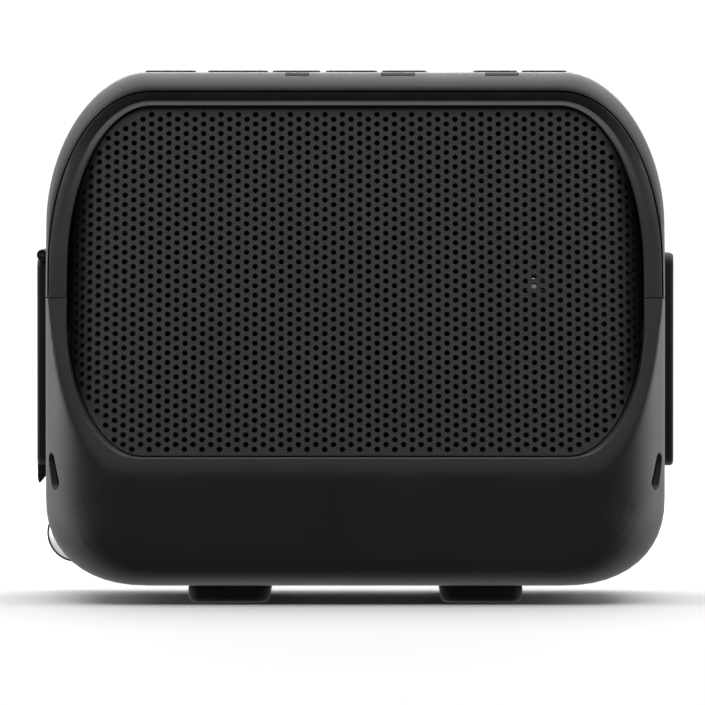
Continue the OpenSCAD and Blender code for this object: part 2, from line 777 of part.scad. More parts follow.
front_housing();
rear_housing();
arched_trim();
grille();
splash_mesh();
housing_seal();
housing_screws();
rear_cover();
rear_cover_seal();
rear_cover_screws();
baffle_plate();
driver_basket();
driver_gasket();
driver_screws();
cone_surround();
cone();
dust_cap();
voice_coil();
spider();
top_plate();
magnet();
yoke();
battery_cells();
battery_tray();
battery_clamps();
main_board();
board_parts();
radio_module();
port_board();
charging_socket();
audio_jack();
key_board();
tact_switches();
key_frame();
power_key();
pairing_key();
volume_down_key();
play_key();
volume_up_key();
track_back_key();
track_forward_key();
microphone();
key_lamps();
status_lamp();
charge_lamps();
port_flap();
flap_pin();
side_cover();
left_strap_socket();
right_strap_socket();
strap_button();
left_foot();
right_foot();
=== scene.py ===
import math

import bmesh
import bpy
import numpy as np
from mathutils import Matrix, Vector


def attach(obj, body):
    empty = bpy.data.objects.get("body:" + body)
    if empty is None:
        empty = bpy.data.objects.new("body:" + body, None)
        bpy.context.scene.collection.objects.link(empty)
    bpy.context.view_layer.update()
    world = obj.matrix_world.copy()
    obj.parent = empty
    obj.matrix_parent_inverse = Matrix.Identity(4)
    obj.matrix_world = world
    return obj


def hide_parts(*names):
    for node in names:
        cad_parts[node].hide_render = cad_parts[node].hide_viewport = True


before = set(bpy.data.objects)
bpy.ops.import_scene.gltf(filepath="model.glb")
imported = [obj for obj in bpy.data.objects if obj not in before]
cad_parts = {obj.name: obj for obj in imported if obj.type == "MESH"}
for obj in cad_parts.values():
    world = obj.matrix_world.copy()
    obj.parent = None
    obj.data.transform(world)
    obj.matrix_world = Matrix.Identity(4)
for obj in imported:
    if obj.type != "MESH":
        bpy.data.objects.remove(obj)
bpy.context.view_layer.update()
bpy.context.scene.view_settings.view_transform = "Standard"


# ------------------------------------------------------------------ rear housing
# The main shell, injection moulded in black ABS: its sides, back, base and the crown that
# shows above the arched trim. It is a frame round an opening in the back, and its front edge
# steps: below the seam it stops at the parting line, above it runs forward to the trim.
SEAM = 63.8
CREASE = 27.4
LEAN = math.radians(19)
RISE = math.tan(LEAN)
FRONT = -31.0
BACK = 31.0
SPLIT = -8.0
WALL = 2.4
CORNER_STEPS = {"low": 20, "high": 24}


def corner(mid, radii, square, start, end, steps):
    """Points along one corner of a superellipse, from angle start to angle end."""
    points = []
    for i in range(steps + 1):
        a = math.radians(start + (end - start) * i / steps)
        c, s = math.cos(a), math.sin(a)
        points.append(
            (
                mid[0] + radii[0] * math.copysign(abs(c) ** (2 / square), c),
                mid[1] + radii[1] * math.copysign(abs(s) ** (2 / square), s),
            )
        )
    return points


def outline(low_mid, low_r, low_square, top_mid, top_r, top_square, turn_steps=20):
    """A shape seen from the front. Every outline has its points in the same order and number, so two of
    them can be joined point to point: one point is just under the seam, and the next is just over it.
    turn_steps of the low corner's points turn the corner, and the others go on up the side."""
    low = corner(low_mid, low_r, low_square, -90, 0, turn_steps)
    rest = CORNER_STEPS["low"] - turn_steps
    x, z = low[-1]
    low += [(x, z + (57 - z) * (i + 1) / rest) for i in range(rest)]
    high = corner(top_mid, top_r, top_square, 0, 90, CORNER_STEPS["high"])
    right = [(low[0][0] * i / 8, low[0][1]) for i in range(8)] + low
    x, z = low[-1]
    right += [(x, z + (SEAM - 0.1 - z) * (i + 1) / 8) for i in range(8)]
    x, z = high[0]
    right += [(x, SEAM + 0.1 + (z - SEAM - 0.1) * i / 4) for i in range(4)] + high
    right += [(high[-1][0] * (1 - (i + 1) / 8), high[-1][1]) for i in range(8)]
    return [Vector(p) for p in right] + [Vector((-x, z)) for x, z in right[-2:0:-1]]


def body_outline(t=0.0):
    return outline((43, 21.8), (22 - t, 18 - t), 2.3, (44.3, 80), (20.7 - t, 31.2 - t), 1.9, 12)


def trim_outline(t=0.0):
    return outline((43, 60), (21.3 + t, 30 + t), 2.6, (43, 70), (21.3 + t, 37 + t), 2.1, 12)


def mouth_outline(t=0.0):
    return outline((44.5, 60), (16 + t, 29.2 + t), 2.6, (43, 70), (17.5 + t, 34 + t), 2.0)


def grille_outline(t=0.0):
    return outline((44.5, 60), (16 + t, 29.2 + t), 1.95, (43, 70), (17.5 + t, 34 + t), 2.0)


def cover_outline(t=0.0):
    return outline((42, 24), (3 + t, 3 + t), 2.0, (42, 88), (3 + t, 3 + t), 2.0, 12)


BODY = body_outline()
COUNT = len(BODY)
UNDER, OVER = 36, 37
NORMAL = []
for i in range(COUNT):
    along = BODY[(i + 1) % COUNT] - BODY[i - 1]
    NORMAL.append(Vector((along.y, -along.x)).normalized())


def place(i):
    """How far round from the bottom middle a point is, from 0 up, the same on both sides."""
    return min(i, COUNT - i)


def ease(t):
    t = max(0.0, min(1.0, t))
    return t * t * (3 - 2 * t)


def low_radius(i):
    return 6 + 10.5 * ease((place(i) - 8) / 12)


def high_radius(i):
    return 1.0 + 5.2 * ease((place(i) - OVER + 3) / 24)


def rear_radius(i):
    k = place(i)
    return 6 + 8 * ease((k - 8) / 12) - 2 * ease((k - 41) / 24)


def leaning(z, depth=0.0):
    """y of the leaning plane at height z, at that depth below it."""
    return FRONT + (z - CREASE) * RISE + depth / math.cos(LEAN)


RING = np.array([tuple(p) for p in BODY])
STEP = np.roll(RING, -1, 0) - RING


def from_edge(x, z):
    """(distance in from the outline, which point of the outline is nearest)."""
    away = np.array((x, z)) - RING
    share = np.clip((away * STEP).sum(1) / (STEP * STEP).sum(1), 0, 1)
    gap = np.hypot(*(away - STEP * share[:, None]).T)
    k = int(gap.argmin())
    return float(gap[k]), (k + float(share[k])) % COUNT


def front_y(x, z, upper):
    """y of the outer skin at a place on the front, with the rolled edges in it."""
    inset, k = from_edge(x, z)
    face = leaning(z)
    if upper:
        r, slope = high_radius(k), RISE * max(NORMAL[int(k)].y, 0.0)
        tilt = math.atan(slope)
        if inset < r * (1 - math.sin(tilt)):
            arc = r / math.cos(tilt) - slope * r - math.sqrt(r * r - (r - inset) ** 2)
            face += arc + slope * inset
    r = low_radius(k)
    chin = FRONT + (r - math.sqrt(r * r - (r - inset) ** 2) if inset < r else 0.0)
    return (face + chin + math.sqrt((face - chin) ** 2 + 0.2)) / 2


def toward(i, target, inset):
    """Point on the way from the outline to another outline, at that inset."""
    way = target[i] - BODY[i]
    return BODY[i] + way * (inset / way.length)


def loft(name, profiles, closed=True):
    """A closed mesh through profiles, each a closed loop of (x, y, z) in millimetres."""
    mesh, rows = bmesh.new(), []
    for profile in profiles:
        rows.append([mesh.verts.new([v * 0.001 for v in p]) for p in profile])
    for a, b in zip(rows, rows[1:] + rows[:1] if closed else rows[1:]):
        for j in range(len(a)):
            k = (j + 1) % len(a)
            mesh.faces.new((a[j], a[k], b[k], b[j]))
    if not closed:
        mesh.faces.new(rows[0])
        mesh.faces.new(rows[-1])
    bmesh.ops.remove_doubles(mesh, verts=mesh.verts, dist=1e-7)
    bmesh.ops.dissolve_degenerate(mesh, edges=mesh.edges, dist=1e-7)
    bmesh.ops.recalc_face_normals(mesh, faces=mesh.faces)
    made = bpy.data.meshes.new(name)
    mesh.to_mesh(made)
    mesh.free()
    piece = bpy.data.objects.new(name, made)
    bpy.context.scene.collection.objects.link(piece)
    return piece


def bake(piece):
    """Turns a piece and its modifiers into one plain mesh."""
    graph = bpy.context.evaluated_depsgraph_get()
    plain = bpy.data.meshes.new_from_object(piece.evaluated_get(graph))
    piece.modifiers.clear()
    piece.data = plain
    return piece


def carve(piece, tools, how="DIFFERENCE"):
    """Cuts tools out of a piece, or joins them to it, and throws the tools away."""
    for tool in tools:
        change = piece.modifiers.new("carve", "BOOLEAN")
        change.operation, change.solver, change.object = how, "EXACT", tool
    bake(piece)
    for tool in tools:
        bpy.data.objects.remove(tool)
    return piece


def slab(name, size, low, high, r, edge_low, edge_high, turn=Matrix()):
    """A rounded rectangle of size (x, y) from height low to high, its rims rounded, turned and placed."""
    profiles = []
    steps = (0, 0.5, 1.0, math.pi / 2)
    rims = [(low + edge_low * (1 - math.cos(a)), edge_low * (1 - math.sin(a))) for a in steps]
    rims += [(high - edge_high * (1 - math.cos(a)), edge_high * (1 - math.sin(a))) for a in reversed(steps)]
    for z, inset in rims:
        loop = []
        for q, (sx, sy) in enumerate(((1, 1), (-1, 1), (-1, -1), (1, -1))):
            for k in range(7):
                a = math.radians(90 * q + 15 * k)
                reach = max(r - inset, 0.02)
                x = sx * (size[0] / 2 - max(r, inset + 0.02)) + reach * math.cos(a)
                y = sy * (size[1] / 2 - max(r, inset + 0.02)) + reach * math.sin(a)
                loop.append(tuple(turn @ Vector((x, y, z))))
        profiles.append(loop)
    return loft(name, profiles, closed=False)


def lathe(name, curve, turn=Matrix(), steps=48):
    """A turned piece: curve is (radius, height) from the axis and back to it, about z."""
    profiles = []
    for radius, height in curve:
        ring = []
        for k in range(steps):
            a = 2 * math.pi * k / steps
            ring.append(tuple(turn @ Vector((radius * math.cos(a), radius * math.sin(a), height))))
        profiles.append(ring)
    return loft(name, profiles, closed=False)


def smooth(piece, angle=34):
    piece.data.shade_smooth()
    piece.data.set_sharp_from_angle(angle=math.radians(angle))
    return piece


def settle(piece, material, body, slot, *nodes):
    """Gives a finished piece its material and the body it moves with, and hides the CAD nodes it stands for.
    """
    piece.data.materials.clear()
    piece.data.materials.append(material)
    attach(piece, body)
    if nodes:
        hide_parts(*nodes)
    return piece


def linear(hex_colour):
    """An sRGB colour such as "1c1c1d", in linear light."""
    parts = [int(hex_colour[i : i + 2], 16) / 255 for i in (0, 2, 4)]
    return [v / 12.92 if v <= 0.04045 else ((v + 0.055) / 1.055) ** 2.4 for v in parts] + [1.0]


def add(tree, kind, settings=None, sockets=None):
    """Adds one node with its settings. A socket is given a value, or the output that feeds it."""
    made = tree.nodes.new(kind)
    for name, value in (settings or {}).items():
        setattr(made, name, value)
    for name, value in (sockets or {}).items():
        if isinstance(value, bpy.types.NodeSocket):
            tree.links.new(value, made.inputs[name])
        else:
            made.inputs[name].default_value = value
    return made


def span(tree, value, low, high, to_low, to_high):
    """A value that runs from low to high, made to run from to_low to to_high."""
    ends = {"From Min": low, "From Max": high, "To Min": to_low, "To Max": to_high}
    return add(tree, "ShaderNodeMapRange", {}, {"Value": value, **ends}).outputs["Result"]


def mixed(tree, way, share, first, second):
    """The first colour with a share of the second mixed in, or multiplied by it."""
    settings = {"data_type": "RGBA", "blend_type": way}
    return add(tree, "ShaderNodeMix", settings, {0: share, 6: first, 7: second}).outputs[2]


def calc(tree, operation, *values):
    """One step of arithmetic on numbers or sockets."""
    return add(tree, "ShaderNodeMath", {"operation": operation}, dict(enumerate(values))).outputs[0]


BLOTCH = 24


def finish(
    name, colour, roughness, grain, depth, metallic=0.0,
    stretch=(1, 1, 1), drift=0.08, spread=0.11, worn=None, **more,
):
    """A surface with a grain of that size and depth in millimetres. Its tone (spread) and gloss (drift)
    change a little from blotch to blotch, from handling and the mould's flow. worn is the tone of rubbed
    high spots."""
    material = bpy.data.materials.new(name)
    material.use_nodes = True
    tree = material.node_tree
    tree.nodes.clear()
    place_on = add(tree, "ShaderNodeTexCoord").outputs["Object"]
    mapped = add(tree, "ShaderNodeMapping", {}, {"Vector": place_on, "Scale": stretch}).outputs["Vector"]
    fine = add(tree, "ShaderNodeTexNoise", {}, {"Vector": mapped, "Scale": 1000 / grain, "Detail": 2.0})
    blotches = {"Vector": place_on, "Scale": 1000 / BLOTCH, "Detail": 4.0, "Roughness": 0.6}
    broad = add(tree, "ShaderNodeTexNoise", {}, blotches).outputs["Fac"]
    tone = span(tree, broad, 0.3, 0.7, 1 - spread, 1 + spread)
    colour_out = mixed(tree, "MULTIPLY", 1.0, linear(colour), tone)
    gloss = span(tree, broad, 0.3, 0.7, roughness - drift / 2, roughness + drift / 2)
    speckle = calc(tree, "MULTIPLY_ADD", fine.outputs["Fac"], 0.06, gloss)
    if worn:
        edge = add(tree, "ShaderNodeBevel", {"samples": 4}, {"Radius": 0.0005}).outputs["Normal"]
        turn = add(tree, "ShaderNodeNewGeometry").outputs["Normal"]
        apart = add(tree, "ShaderNodeVectorMath", {"operation": "DISTANCE"}, {0: edge, 1: turn})
        mask = span(tree, apart.outputs["Value"], 0.08, 0.5, 0.0, 0.45)
        colour_out = mixed(tree, "MIX", mask, colour_out, linear(worn))
    relief = {"Strength": 0.5, "Distance": depth / 1000, "Height": fine.outputs["Fac"]}
    bump = add(tree, "ShaderNodeBump", {}, relief).outputs["Normal"]
    looks = {"Base Color": colour_out, "Metallic": metallic, "Roughness": speckle, "Normal": bump}
    shader = add(tree, "ShaderNodeBsdfPrincipled", {}, looks)
    for socket, value in more.items():
        shader.inputs[socket.replace("_", " ")].default_value = value
    add(tree, "ShaderNodeOutputMaterial", {}, {"Surface": shader.outputs["BSDF"]})
    return material


# Black ABS from a spark-eroded cavity: a dull, very fine pebble that greys at a low angle.
shell_abs = finish("spark_eroded_black_ABS", "1b1b1c", 0.47, 0.22, 0.012, worn="2a2a2b", IOR=1.52)

TRIM_SEAT, MOUTH, EDGE, COVER = trim_outline(0.25), mouth_outline(), grille_outline(), cover_outline(0.2)


def rear_profile(i):
    """Section through point i of the outline: front edge, side, rear roll, cover seat and the inside."""
    loop = []
    point, r = BODY[i], rear_radius(i)
    if place(i) > UNDER:
        width = (TRIM_SEAT[i] - point).length
        for depth in (5.5, 0.5):
            loop.append((TRIM_SEAT[i].x, leaning(TRIM_SEAT[i].y, depth), TRIM_SEAT[i].y))
        for k in range(13):
            inset = (width - 0.06) * (1 - math.sin(math.pi / 2 * k / 12))
            at = toward(i, TRIM_SEAT, inset)
            loop.append((at.x, front_y(at.x, at.y, True) + (0.12 if k == 0 else 0.0), at.y))
    else:
        for k in range(14):
            at = point - NORMAL[i] * (1.7 - 1.5 * k / 13)
            loop.append((at.x, SPLIT + 0.2, at.y))
        loop.append((point.x, SPLIT + 0.4, point.y))
    start = loop[-1][1]
    for k in (0.3, 0.6, 0.9):
        loop.append((point.x, start + (BACK - r - start) * k, point.y))
    for k in range(12):
        a = math.pi / 2 * k / 11
        at = toward(i, COVER, r - r * math.cos(a))
        loop.append((at.x, BACK - r + r * math.sin(a), at.y))
    reach = (COVER[i] - point).length
    seat = (
        (reach * 0.6 + r * 0.4, 0), (reach - 0.25, 0), (reach, 0.25), (reach, 3.2),
        (reach + 8, 3.2), (reach + 8, 5.6), (reach - 4, 5.6), (reach - 4, WALL),
    )
    for inset, sunk in seat:
        at = toward(i, COVER, inset)
        loop.append((at.x, BACK - sunk, at.y))
    inner = max(r - WALL, 1.0)
    for k in range(7):
        a = math.pi / 2 * (1 - k / 6)
        at = toward(i, COVER, WALL + inner - inner * math.cos(a))
        loop.append((at.x, BACK - WALL - inner + inner * math.sin(a), at.y))
    if place(i) > UNDER:
        ledge = max((TRIM_SEAT[i] - point).length + 1.85, WALL + 0.2)
        for inset, depth in ((WALL, 6.8), (ledge, 6.8), (ledge, 5.5)):
            at = toward(i, TRIM_SEAT, inset)
            loop.append((at.x, leaning(at.y, depth), at.y))
    else:
        for inset in (WALL, 2.2, 2.0):
            at = point - NORMAL[i] * inset
            loop.append((at.x, SPLIT + 0.2, at.y))
    return loop


rear_shell = loft("rear_housing_shell", [rear_profile(i) for i in range(COUNT)])


def box_tool(low, high):
    """A plain block for carving, from corner to corner."""
    size = (high[0] - low[0], high[1] - low[1])
    middle = Matrix.Translation(((low[0] + high[0]) / 2, (low[1] + high[1]) / 2, 0))
    return slab("tool", size, low[2], high[2], 0.02, 0.001, 0.001, middle)


def rod_tool(at, axis, r, start, end, steps=40):
    """A plain rod for carving, along axis through a point."""
    turn = Matrix.Translation(at) @ Vector((0, 0, 1)).rotation_difference(Vector(axis)).to_matrix().to_4x4()
    return lathe("tool", [(r, start), (r, end)], turn, steps)


KEYS = {
    "power": (-39.2, 10.8),
    "pairing": (-24.9, 12.8),
    "volume_down": (-12.5, 10.2),
    "play": (-0.8, 11.0),
    "volume_up": (10.4, 9.6),
    "track_back": (29.7, 9.4),
    "track_forward": (40.1, 9.6),
}
KEY_Y, KEY_D, CROWN, MIC_X = 9.4, 8.0, 111.2, 19.6
LAMPS = ((-12.3, 4.8), (9.0, 7.0), (31.0, 6.8))
FLAP_Y, FLAP_D, FLAP_LOW, FLAP_HIGH = 9.0, 16.0, 27.8, 73.0
PIN_X, PIN_Z, LUG_T = -66.2, 72.5, 1.3
SIDE = 64.0
LID_SCREWS = [(x, z) for x in (-41, 41) for z in (25, 56, 87)]
BUTTON = (-60.0, 12.3)

# The port well stands in from the left wall.
carve(rear_shell, [box_tool((-63.4, 2.4, 32.5), (-59.2, 15.6, 66.5))], "UNION")
openings = [
    box_tool((-45.4, KEY_Y - 5, CROWN - 1), (46.1, KEY_Y + 5, 120)),
    box_tool((-70, 0.7, 27.5), (-SIDE, 17.3, 73.7)),
    box_tool((SIDE, 1, FLAP_LOW), (70, 17, FLAP_HIGH)),
    box_tool((-70, 4.4, 34.5), (-60.6, 13.6, 64.5)),
    box_tool((-61.5, 7.2, 36.4), (-58, 10.8, 45.6)),
    rod_tool((-61.5, 9, 58), (1, 0, 0), 3.05, 0, 4),
    rod_tool((BUTTON[0], 26.2, BUTTON[1]), (0, 1, 0), 7.4, 0, 20, 64),
    rod_tool((MIC_X, KEY_Y, 100), (0, 0, 1), 1.7, 0, 20),
]
for middle, width in KEYS.values():
    reach = width / 2 + 0.3
    openings.append(box_tool((middle - reach, KEY_Y - 4.3, 100), (middle + reach, KEY_Y + 4.3, 120)))
for middle, width in LAMPS:
    reach = width / 2 + 0.1
    openings.append(box_tool((middle - reach, -0.8, CROWN - 1.75), (middle + reach, 1.4, 120)))
for k in range(4):
    openings.append(box_tool((-70, 2.95, 83.8 + 1.95 * k), (-60.5, 12.05, 85.2 + 1.95 * k)))
for x in (-45, 45):
    openings.append(rod_tool((x, 20, 12), (0, 1, 0), 2.6, 0, 30))
for x, z in LID_SCREWS:
    openings.append(rod_tool((x, 22, z), (0, 1, 0), 1.05, 0, 9))
carve(rear_shell, openings)
# Two lugs hold the ends of the flap's pin.
for y in (FLAP_Y - FLAP_D / 2 - 0.3 - LUG_T, FLAP_Y + FLAP_D / 2 + 0.3):
    eye = rod_tool((PIN_X, y, PIN_Z), (0, 1, 0), 1.2, 0, LUG_T, 32)
    web = box_tool((PIN_X, y, PIN_Z - 0.8), (-SIDE, y + LUG_T, PIN_Z + 0.8))
    carve(rear_shell, [eye, web], "UNION")
    carve(rear_shell, [rod_tool((PIN_X, y - 1, PIN_Z), (0, 1, 0), 0.42, 0, 4, 24)])
settle(smooth(rear_shell), shell_abs, "housing", "crown_plastic", "rear_housing")


# ------------------------------------------------------------------ front housing
# The chin and the lower half of the bezel, one moulding in the same black ABS. It meets the
# rear housing at the parting line and carries a leaning slot for a strap in each front corner.
RIM = [mouth + (edge - mouth) * 0.7 for mouth, edge in zip(MOUTH, EDGE)]
SHEET_AT, WING_AT, WING_R = 1.7, 52.5, 8.4


def front_profile(i):
    """Section through point i: grille opening, bezel or chin, rolled edge, side wall and the inside."""
    point, mouth, edge = BODY[i], RIM[i], EDGE[i]
    width = (mouth - point).length
    out = (mouth - point).normalized()
    over = max(abs(edge.x) - WING_AT, 0.0)
    sheet = SHEET_AT + WING_R - math.sqrt(WING_R * WING_R - over * over)
    loop = [(edge.x, leaning(edge.y, depth), edge.y) for depth in (sheet + 2.6, sheet + 0.3, sheet - 0.05)]
    for back, depth in ((0.0, 0.55), (0.08, 0.2), (0.22, 0.05)):
        at = mouth - out * back
        loop.append((at.x, max(leaning(at.y, depth), FRONT + depth), at.y))
    r = low_radius(i)
    roll = min(r, width * 0.7)
    insets = [roll * (1 - math.cos(math.pi / 2 * k / 20)) for k in range(21)]
    insets += [roll + (width - 0.4 - roll) * (k + 1) / 34 for k in range(34)]
    for inset in reversed(insets):
        at = toward(i, RIM, inset)
        loop.append((at.x, front_y(at.x, at.y, False), at.y))
    start = loop[-1][1]
    for k in (0.35, 0.7):
        loop.append((point.x, start + (SPLIT - start) * k, point.y))
    loop.append((point.x, SPLIT - 0.2, point.y))
    for inset in (0.2, WALL):
        at = point - NORMAL[i] * inset
        loop.append((at.x, SPLIT, at.y))
    deep = max(width - 1.8, WALL + 0.1)
    for k in range(9):
        inset = WALL + (deep - WALL) * (k / 8) ** 1.5
        at = toward(i, RIM, inset)
        loop.append((at.x, min(front_y(at.x, at.y, False) + WALL + 0.1, SPLIT - 0.1), at.y))
    at = toward(i, RIM, deep)
    loop.append((at.x, leaning(at.y, sheet + 2.6), at.y))
    return loop


below_seam = [front_profile(i % COUNT) for i in range(COUNT - UNDER, COUNT + UNDER + 1)]
front_shell = loft("front_housing_shell", below_seam, closed=False)
slots = []
for side in (-1, 1):
    turn = Matrix.Translation((side * 59.8, -21.8, 27.6)) @ Matrix.Rotation(-LEAN, 4, "X")
    turn = turn @ Matrix.Rotation(side * math.pi / 2, 4, "Y")
    slots.append(slab("tool", (8, 3), 0, 20, 1.5, 0.001, 0.001, turn))
carve(front_shell, slots)
settle(smooth(front_shell), shell_abs, "housing", "housing_plastic", "front_housing")


# ------------------------------------------------------------------ arched trim
# A separate arch that frames the top of the grille, moulded in a slightly glossier black ABS
# and pushed into a seat in the rear housing. At the top it dips to a valley behind a raised lip.
# Black ABS from a finer cavity: a little more shine than the shell's, and the same colour.
trim_abs = finish("fine_grained_black_ABS", "1a1a1b", 0.4, 0.16, 0.006, worn="262627", IOR=1.52)

TRIM = trim_outline(-0.02)


def trim_profile(i):
    point, lip = TRIM[i], MOUTH[i]
    way = lip - point
    fall = 0.12 + 0.88 * ease((place(i) - 46) / 14)
    loop = []
    steps = (
        (0.0, 5.2), (0.0, 0.5), (0.015, 0.3), (0.03, 0.25),
        (0.3, 0.6 * fall), (0.5, 1.0 * fall), (0.6, 1.25 * fall), (0.67, 1.15 * fall),
        (0.78, 0.98 * fall), (0.86, 0.88 * fall), (0.93, 0.84 * fall), (0.97, 0.88 * fall + 0.05),
        (1.0, 1.1), (1.0, 2.4), (1.0, 5.2),
    )
    for share, depth in steps:
        at = point + way * share
        loop.append((at.x, leaning(at.y, depth), at.y))
    return loop


trim = loft("arched_trim_lip", [trim_profile(i) for i in range(OVER, COUNT - OVER + 1)], closed=False)
settle(smooth(trim), trim_abs, "housing", "trim_plastic", "arched_trim")


# ------------------------------------------------------------------ grille
# One pressed sheet of 0.8 mm steel, punched in staggered columns and powder coated black. Its
# middle is flat and its two sides sweep back, so the punched columns crowd together there.
# Powder coat on punched steel: dull and slightly pebbled.
powder_coat = finish("black_powder_coat_on_steel", "1e1e1f", 0.52, 0.35, 0.02, IOR=1.5)

SHEET_T = 0.8


def flat_place(point):
    """Where a point of the opening falls on the blank, before its wings are bent: (across, up the face)."""
    x, z = point
    over = abs(x) - WING_AT
    turn = math.asin(over / WING_R) if over > 0 else 0.0
    depth = SHEET_AT + WING_R * (1 - math.cos(turn))
    across = math.copysign(WING_AT + WING_R * turn, x) if over > 0 else x
    return across, (z - CREASE + depth * math.sin(LEAN)) / math.cos(LEAN)


blank = bpy.data.meshes.new("grille_blank")
ring = [flat_place(p) for p in grille_outline(-0.3)]
links = [(i, (i + 1) % len(ring)) for i in range(len(ring))]
blank.from_pydata([(x * 0.001, s * 0.001, 0) for x, s in ring], links, [])
grille = bpy.data.objects.new("grille_sheet", blank)
bpy.context.scene.collection.objects.link(grille)


def socket_tree(name, inputs):
    """A Geometry Nodes tree with named inputs, each (socket kind, value)."""
    tree = bpy.data.node_groups.new(name, "GeometryNodeTree")
    tree.interface.new_socket("Geometry", in_out="INPUT", socket_type="NodeSocketGeometry")
    tree.interface.new_socket("Geometry", in_out="OUTPUT", socket_type="NodeSocketGeometry")
    for label, (kind, _) in inputs.items():
        tree.interface.new_socket(label, in_out="INPUT", socket_type=kind)
    return tree, add(tree, "NodeGroupInput").outputs


def apply_tree(piece, tree, inputs, more=()):
    """Runs the tree on a piece, its inputs set by identifier, and leaves a plain mesh."""
    modifier = piece.modifiers.new(tree.name, "NODES")
    modifier.node_group = tree
    for item in tree.interface.items_tree:
        if item.in_out == "INPUT" and item.name in inputs:
            modifier[item.identifier] = inputs[item.name][1]
    for kind, settings in more:
        extra = piece.modifiers.new(kind, kind)
        for name, value in settings.items():
            setattr(extra, name, value)
    return bake(piece)


punch = {
    "Row pitch": ("NodeSocketFloat", 0.00211),
    "Column step": ("NodeSocketFloat", 0.001829),
    "Hole radius": ("NodeSocketFloat", 0.00062),
    "Plain border": ("NodeSocketFloat", 0.00068),
    "Columns": ("NodeSocketInt", 73),
    "Rows": ("NodeSocketInt", 42),
    "First column": ("NodeSocketFloat", -0.06676),
    "First row": ("NodeSocketFloat", 0.0027),
    "Wing start": ("NodeSocketFloat", WING_AT / 1000),
    "Wing radius": ("NodeSocketFloat", WING_R / 1000),
    "Coat": ("NodeSocketMaterial", powder_coat),
}
tree, given = socket_tree("punched_sheet", punch)
rim = add(tree, "GeometryNodeMeshToCurve", {}, {"Mesh": given["Geometry"]}).outputs["Curve"]
field = add(tree, "GeometryNodeFillCurve", {}, {"Curve": rim}).outputs["Mesh"]
wide = calc(tree, "MULTIPLY", calc(tree, "SUBTRACT", given["Columns"], 1.0), given["Column step"])
tall = calc(tree, "MULTIPLY", calc(tree, "SUBTRACT", given["Rows"], 1.0), given["Row pitch"])
counts = {"Size X": wide, "Size Y": tall, "Vertices X": given["Columns"], "Vertices Y": given["Rows"]}
lattice = add(tree, "GeometryNodeMeshGrid", {}, counts).outputs["Mesh"]
# Every second column is half a pitch higher.
number = add(tree, "GeometryNodeInputIndex").outputs[0]
column = calc(tree, "FLOOR", calc(tree, "DIVIDE", number, given["Rows"]))
lift = calc(tree, "MULTIPLY", calc(tree, "MODULO", column, 2.0), given["Row pitch"])
half_wide = calc(tree, "MULTIPLY_ADD", wide, 0.5, given["First column"])
half_tall = calc(tree, "MULTIPLY_ADD", tall, 0.5, given["First row"])
up = calc(tree, "ADD", half_tall, calc(tree, "MULTIPLY", lift, 0.5))
shift = add(tree, "ShaderNodeCombineXYZ", {}, {"X": half_wide, "Y": up}).outputs[0]
lattice = add(tree, "GeometryNodeSetPosition", {}, {"Geometry": lattice, "Offset": shift}).outputs[0]
# No hole is punched outside the blank, or in the plain border round its edge.
outside = add(tree, "GeometryNodeProximity", {"target_element": "FACES"}, {0: field}).outputs["Distance"]
outside = add(tree, "FunctionNodeCompare", {"operation": "GREATER_THAN"}, {0: outside, 1: 1e-6}).outputs[0]
near = add(tree, "GeometryNodeProximity", {"target_element": "EDGES"}, {0: given["Geometry"]})
border = {0: near.outputs["Distance"], 1: given["Plain border"]}
near = add(tree, "FunctionNodeCompare", {"operation": "LESS_THAN"}, border).outputs[0]
drop = add(tree, "FunctionNodeBooleanMath", {"operation": "OR"}, {0: outside, 1: near}).outputs[0]
unwanted = {"Geometry": lattice, "Selection": drop}
lattice = add(tree, "GeometryNodeDeleteGeometry", {"domain": "POINT"}, unwanted).outputs[0]
ten_sided = {"Resolution": 10, "Radius": given["Hole radius"]}
hole = add(tree, "GeometryNodeCurvePrimitiveCircle", {}, ten_sided).outputs["Curve"]
holes = add(tree, "GeometryNodeInstanceOnPoints", {}, {"Points": lattice, "Instance": hole}).outputs[0]
holes = add(tree, "GeometryNodeRealizeInstances", {}, {"Geometry": holes}).outputs[0]
both = add(tree, "GeometryNodeJoinGeometry")
tree.links.new(rim, both.inputs[0])
tree.links.new(holes, both.inputs[0])
sheet = add(tree, "GeometryNodeFillCurve", {}, {"Curve": both.outputs[0]}).outputs["Mesh"]
# Beyond the flat middle the blank is rolled back about the wing radius.
spot = add(tree, "ShaderNodeSeparateXYZ", {}, {0: add(tree, "GeometryNodeInputPosition").outputs[0]}).outputs
away = calc(tree, "ABSOLUTE", spot[0])
over = calc(tree, "MAXIMUM", calc(tree, "SUBTRACT", away, given["Wing start"]), 0.0)
angle = calc(tree, "DIVIDE", over, given["Wing radius"])
run = calc(tree, "MULTIPLY", calc(tree, "SINE", angle), given["Wing radius"])
reach = calc(tree, "ADD", calc(tree, "SUBTRACT", away, over), run)
reach = calc(tree, "MULTIPLY", reach, calc(tree, "SIGN", spot[0]))
sunk = calc(tree, "SUBTRACT", calc(tree, "COSINE", angle), 1.0)
sunk = calc(tree, "MULTIPLY", sunk, given["Wing radius"])
bent = add(tree, "ShaderNodeCombineXYZ", {}, {"X": reach, "Y": spot[1], "Z": sunk}).outputs[0]
sheet = add(tree, "GeometryNodeSetPosition", {}, {"Geometry": sheet, "Position": bent}).outputs[0]
sheet = add(tree, "GeometryNodeRealizeInstances", {}, {"Geometry": sheet}).outputs[0]
sheet = add(tree, "GeometryNodeSetMaterial", {}, {"Geometry": sheet, "Material": given["Coat"]}).outputs[0]
add(tree, "NodeGroupOutput", {}, {0: sheet})
thicken = {"thickness": SHEET_T / 1000, "offset": -1.0, "use_even_offset": False}
apply_tree(grille, tree, punch, [("SOLIDIFY", thicken)])
